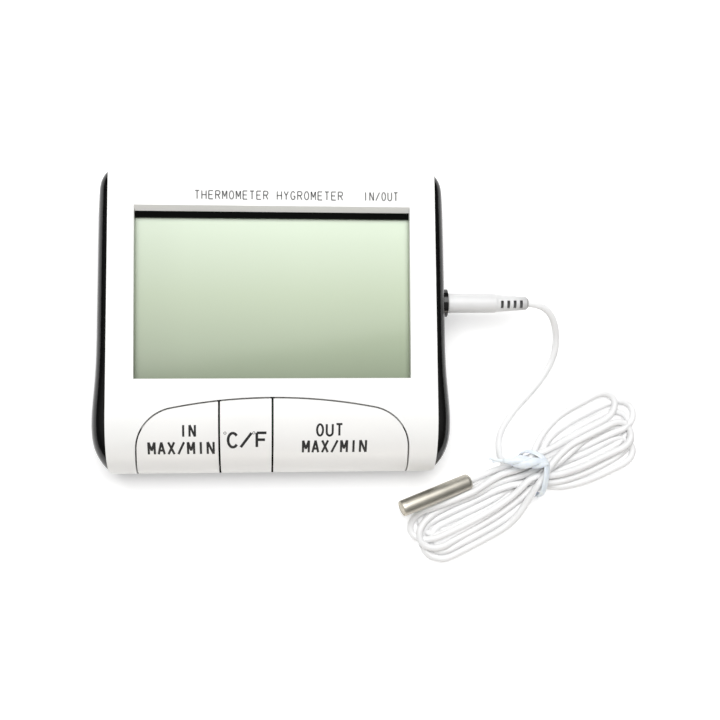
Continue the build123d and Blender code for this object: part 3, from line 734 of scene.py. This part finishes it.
def make_twist(strand, material):
    """One of the two ends, wound round the other, thick in the middle and thin at its tips."""
    axis = (TWIST_END - TWIST_START).normalized()
    across = axis.cross(UP).normalized()
    centres, facing, widths, thicknesses = [], [], [], []
    for i in range(TWIST_STEPS + 1):
        t = i / TWIST_STEPS
        swell = math.sin(math.pi * min(max(t, 0.03), 0.97)) ** 0.7
        angle = 2 * math.pi * TWIST_TURNS * t + math.pi * strand + TWIST_PHASE
        spine = TWIST_START.lerp(TWIST_END, t) + UP * TWIST_HUMP * math.sin(math.pi * t)
        offset = (across * math.cos(angle) * TWIST_SPREAD[0]
                  + UP * math.sin(angle) * TWIST_SPREAD[1]) * swell
        place = spine + offset
        centres.append(from_hank(place))
        facing.append(from_hank(place + UP + across * 0.5 * math.cos(angle)) - centres[-1])
        widths.append(STRAND_WIDTH[0] + STRAND_WIDTH[1] * swell)
        thicknesses.append(STRAND_THICKNESS[0] + STRAND_THICKNESS[1] * swell)
    return ribbon(f"tie_twist_{strand}", centres, facing, widths, thicknesses, material)


def make_prong(number, material):
    """One of the two thin tips that stick out of the twist."""
    places = [PRONG_TIPS[number], PRONG_MIDDLES[number], PRONG_ROOT]
    line = [from_hank(p) for p in smooth_line(places, 0.5)]
    count = len(line)
    return ribbon(f"tie_prong_{number}", line, [UP] * count, [PRONG_WIDTH] * count,
                  [PRONG_THICKNESS] * count, material)


def make_tie(materials):
    """Plastic-covered twist tie: a band, its twisted ends across the top, and two prongs."""
    material = materials["tie"]
    band = make_band(material)
    for make in (make_twist, make_prong):
        for number in (0, 1):
            make(number, material).parent = band
    return band


def make_probe(materials):
    """Plated sleeve with a rolled tip, closed by a bead of resin."""
    along = PROBE_TAIL - PROBE_TIP
    length, r = along.length, PROBE_RADIUS
    sleeve = lathe("probe_tube", PROBE_TIP, along, [
        (0.9, r - 0.55), (0.25, r - 0.5), (0.05, r - 0.35), (0.0, r - 0.2), (0.08, r - 0.07),
        (0.3, r), (1.5, r), (length - 1.2, r), (length - 0.5, r - 0.12),
        (length - 0.15, r - 0.4), (length, r - 0.9), (length - 0.1, CORD_RADIUS + 0.1),
        (length - 0.8, CORD_RADIUS + 0.02)], materials["nickel"])
    end = lathe("probe_resin_end", PROBE_TIP, along, [
        (-0.12, 0.3), (-0.1, 1.1), (0.0, 1.7), (0.2, r - 0.56), (1.2, r - 0.6)],
        materials["resin"])
    return sleeve, end


# ---------------------------------------------------------------- printed legends
def face_height(y):
    """Height of the front face at y: flat, then falling away down the chin."""
    below = np.clip(CHIN_START - y, 0, CHIN_RUN * 0.999)
    return float(PARTING + CHIN_DROP * np.sqrt(1 - (below / CHIN_RUN) ** 2))


def arc(centre, radii, first, last):
    """Points on part of an ellipse, angles in degrees."""
    angles = [math.radians(first + (last - first) * i / ARC_STEPS)
              for i in range(ARC_STEPS + 1)]
    return [(centre[0] + radii[0] * math.cos(t), centre[1] + radii[1] * math.sin(t))
            for t in angles]


# Each letter as the strokes of a plain stencil, in a box one unit wide and one tall
STROKES = {
    "A": [[(0, 0), (0.5, 1)], [(0.5, 1), (1, 0)], [(0.2, 0.32), (0.8, 0.32)]],
    "C": [arc((0.5, 0.5), (0.5, 0.5), 38, 322)],
    "E": [[(0, 0), (0, 1)], [(0, 1), (1, 1)], [(0, 0.52), (0.85, 0.52)], [(0, 0), (1, 0)]],
    "F": [[(0, 0), (0, 1)], [(0, 1), (1, 1)], [(0, 0.52), (0.85, 0.52)]],
    "G": [arc((0.5, 0.5), (0.5, 0.5), 38, 330), [(0.6, 0.42), (1, 0.42)],
          [(0.95, 0.42), (0.95, 0.2)]],
    "H": [[(0, 0), (0, 1)], [(1, 0), (1, 1)], [(0, 0.5), (1, 0.5)]],
    "I": [[(0.5, 0), (0.5, 1)]],
    "M": [[(0, 0), (0, 1)], [(0.02, 1), (0.5, 0.3)], [(0.5, 0.3), (0.98, 1)], [(1, 1), (1, 0)]],
    "N": [[(0, 0), (0, 1)], [(0.03, 1), (0.97, 0)], [(1, 0), (1, 1)]],
    "O": [arc((0.5, 0.5), (0.5, 0.5), 0, 360)],
    "R": [[(0, 0), (0, 1)],
          [(0, 1), (0.6, 1), *arc((0.6, 0.76), (0.4, 0.24), 80, -80), (0.6, 0.52), (0, 0.52)],
          [(0.5, 0.52), (1, 0)]],
    "T": [[(0, 1), (1, 1)], [(0.5, 0), (0.5, 1)]],
    "U": [[(0, 1), *arc((0.5, 0.3), (0.5, 0.3), 180, 360), (1, 1)]],
    "X": [[(0, 0), (1, 1)], [(0, 1), (1, 0)]],
    "Y": [[(0, 1), (0.5, 0.5)], [(1, 1), (0.5, 0.5)], [(0.5, 0.5), (0.5, 0)]],
    "/": [[(0, 0), (1, 1)]],
}


def ink_stroke(work, line, width):
    """Thin raised stroke along a line on the face; its ends are square."""
    dense = []
    for p, q in zip(line, line[1:]):
        count = max(1, math.ceil((Vector(q) - Vector(p)).length / INK_STEP))
        dense += [Vector(p).lerp(Vector(q), i / count) for i in range(count)]
    dense.append(Vector(line[-1]))
    rings = []
    for i, at in enumerate(dense):
        run = (dense[min(i + 1, len(dense) - 1)] - dense[max(i - 1, 0)]).normalized()
        across = Vector((-run.y, run.x)) * width / 2
        corners = ((at - across, -INK_SUNK), (at - across, INK_PROUD),
                   (at + across, INK_PROUD), (at + across, -INK_SUNK))
        rings.append([work.verts.new(Vector((edge.x, edge.y, face_height(edge.y) + lift)) * MM)
                      for edge, lift in corners])
    for one, two in zip(rings, rings[1:]):
        for k in range(4):
            n = (k + 1) % 4
            work.faces.new((one[k], one[n], two[n], two[k]))
    work.faces.new(list(reversed(rings[0])))
    work.faces.new(rings[-1])


def ink_letter(work, letter, centre, size, width):
    """One letter in a box about centre; width is its strokes'."""
    across, tall = size[0] - width, size[1] - width
    for stroke in STROKES[letter]:
        line = [(centre[0] + (x - 0.5) * across, centre[1] + (y - 0.5) * tall)
                for x, y in stroke]
        ink_stroke(work, line, width)


def words_on_face(name, words, centre, size, material, width, fill=0.84):
    """Printed words with evenly pitched letters that follow the face."""
    work = bmesh.new()
    pitch = size[0] / (len(words) - 1 + fill)
    for i, letter in enumerate(words):
        if letter != " ":
            x = centre[0] + (i - (len(words) - 1) / 2) * pitch
            ink_letter(work, letter, (x, centre[1]), (pitch * fill, size[1]), width)
    return mesh_from(work, name, material)


def units_on_face(name, centre, size, material, width):
    """The temperature units: two letters, each with its degree ring, and a stroke between."""
    work = bmesh.new()
    pitch = size[0] / 3
    slash = (centre[0] + SLASH_SHIFT, centre[1])
    ink_letter(work, "/", slash, (pitch * 0.95, size[1]), width)
    for letter, step in (("C", -1), ("F", 1)):
        x = centre[0] + step * pitch + LETTER_SHIFT
        ink_letter(work, letter, (x, centre[1]), (pitch * 0.86, size[1]), width)
        ring = (x - 0.43 * pitch - 0.5, centre[1] + size[1] / 2 - 0.4)
        ink_stroke(work, arc(ring, (RING_RADIUS, RING_RADIUS), 0, 360), RING_STROKE)
    return mesh_from(work, name, material)


def mesh_from(work, name, material):
    """Object made from a finished mesh edit."""
    bmesh.ops.recalc_face_normals(work, faces=work.faces)
    mesh = bpy.data.meshes.new(name)
    work.to_mesh(mesh)
    work.free()
    mesh.materials.append(material)
    piece = bpy.data.objects.new(name, mesh)
    bpy.context.scene.collection.objects.link(piece)
    return piece


def make_legends(materials):
    """Generic words on the keys and above the display."""
    ink, grey = materials["ink"], materials["grey_ink"]
    memory, title = "MAX/MIN", "THERMOMETER HYGROMETER"
    rows = [
        (words_on_face("legend_in", "IN", (-25.6, -33.3), (4.9, 4.1), ink, 0.64), "in_button"),
        (words_on_face("legend_in_memory", memory, (-27.65, -38.5), (20.0, 4.3), ink, 0.67),
         "in_button"),
        (units_on_face("legend_unit", (-8.5, -36.2), (12.9, 5.1), ink, 0.80), "unit_button"),
        (words_on_face("legend_out", "OUT", (16.9, -33.3), (8.3, 4.1), ink, 0.64),
         "out_button"),
        (words_on_face("legend_out_memory", memory, (18.45, -38.3), (19.8, 4.3), ink, 0.67),
         "out_button"),
        (words_on_face("legend_header", title, (-1.2, 37.8), (45.0, 2.9), grey, 0.40, 0.82),
         "case"),
        (words_on_face("legend_channels", "IN/OUT", (32.8, 37.8), (10.8, 2.9), grey, 0.40, 0.82),
         "case"),
    ]
    for piece, body in rows:
        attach(piece, body)


# ---------------------------------------------------------------- putting it together
make_camera()
MATERIALS = make_materials()
cord = make_cord(MATERIALS)
tie = make_tie(MATERIALS)
sleeve, sleeve_end = make_probe(MATERIALS)
make_studio()
dress_cad(MATERIALS)
make_legends(MATERIALS)

for piece, slot, nodes in (
        (cord, "white_lead", ("cord_lead", "cord_hank", "cord_tail")),
        (tie, "tie", ("cord_tie",)),
        (sleeve, "nickel", ("probe_sleeve",)),
        (sleeve_end, "resin", ("probe_end",))):
    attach(piece, "probe_lead")
    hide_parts(*nodes)
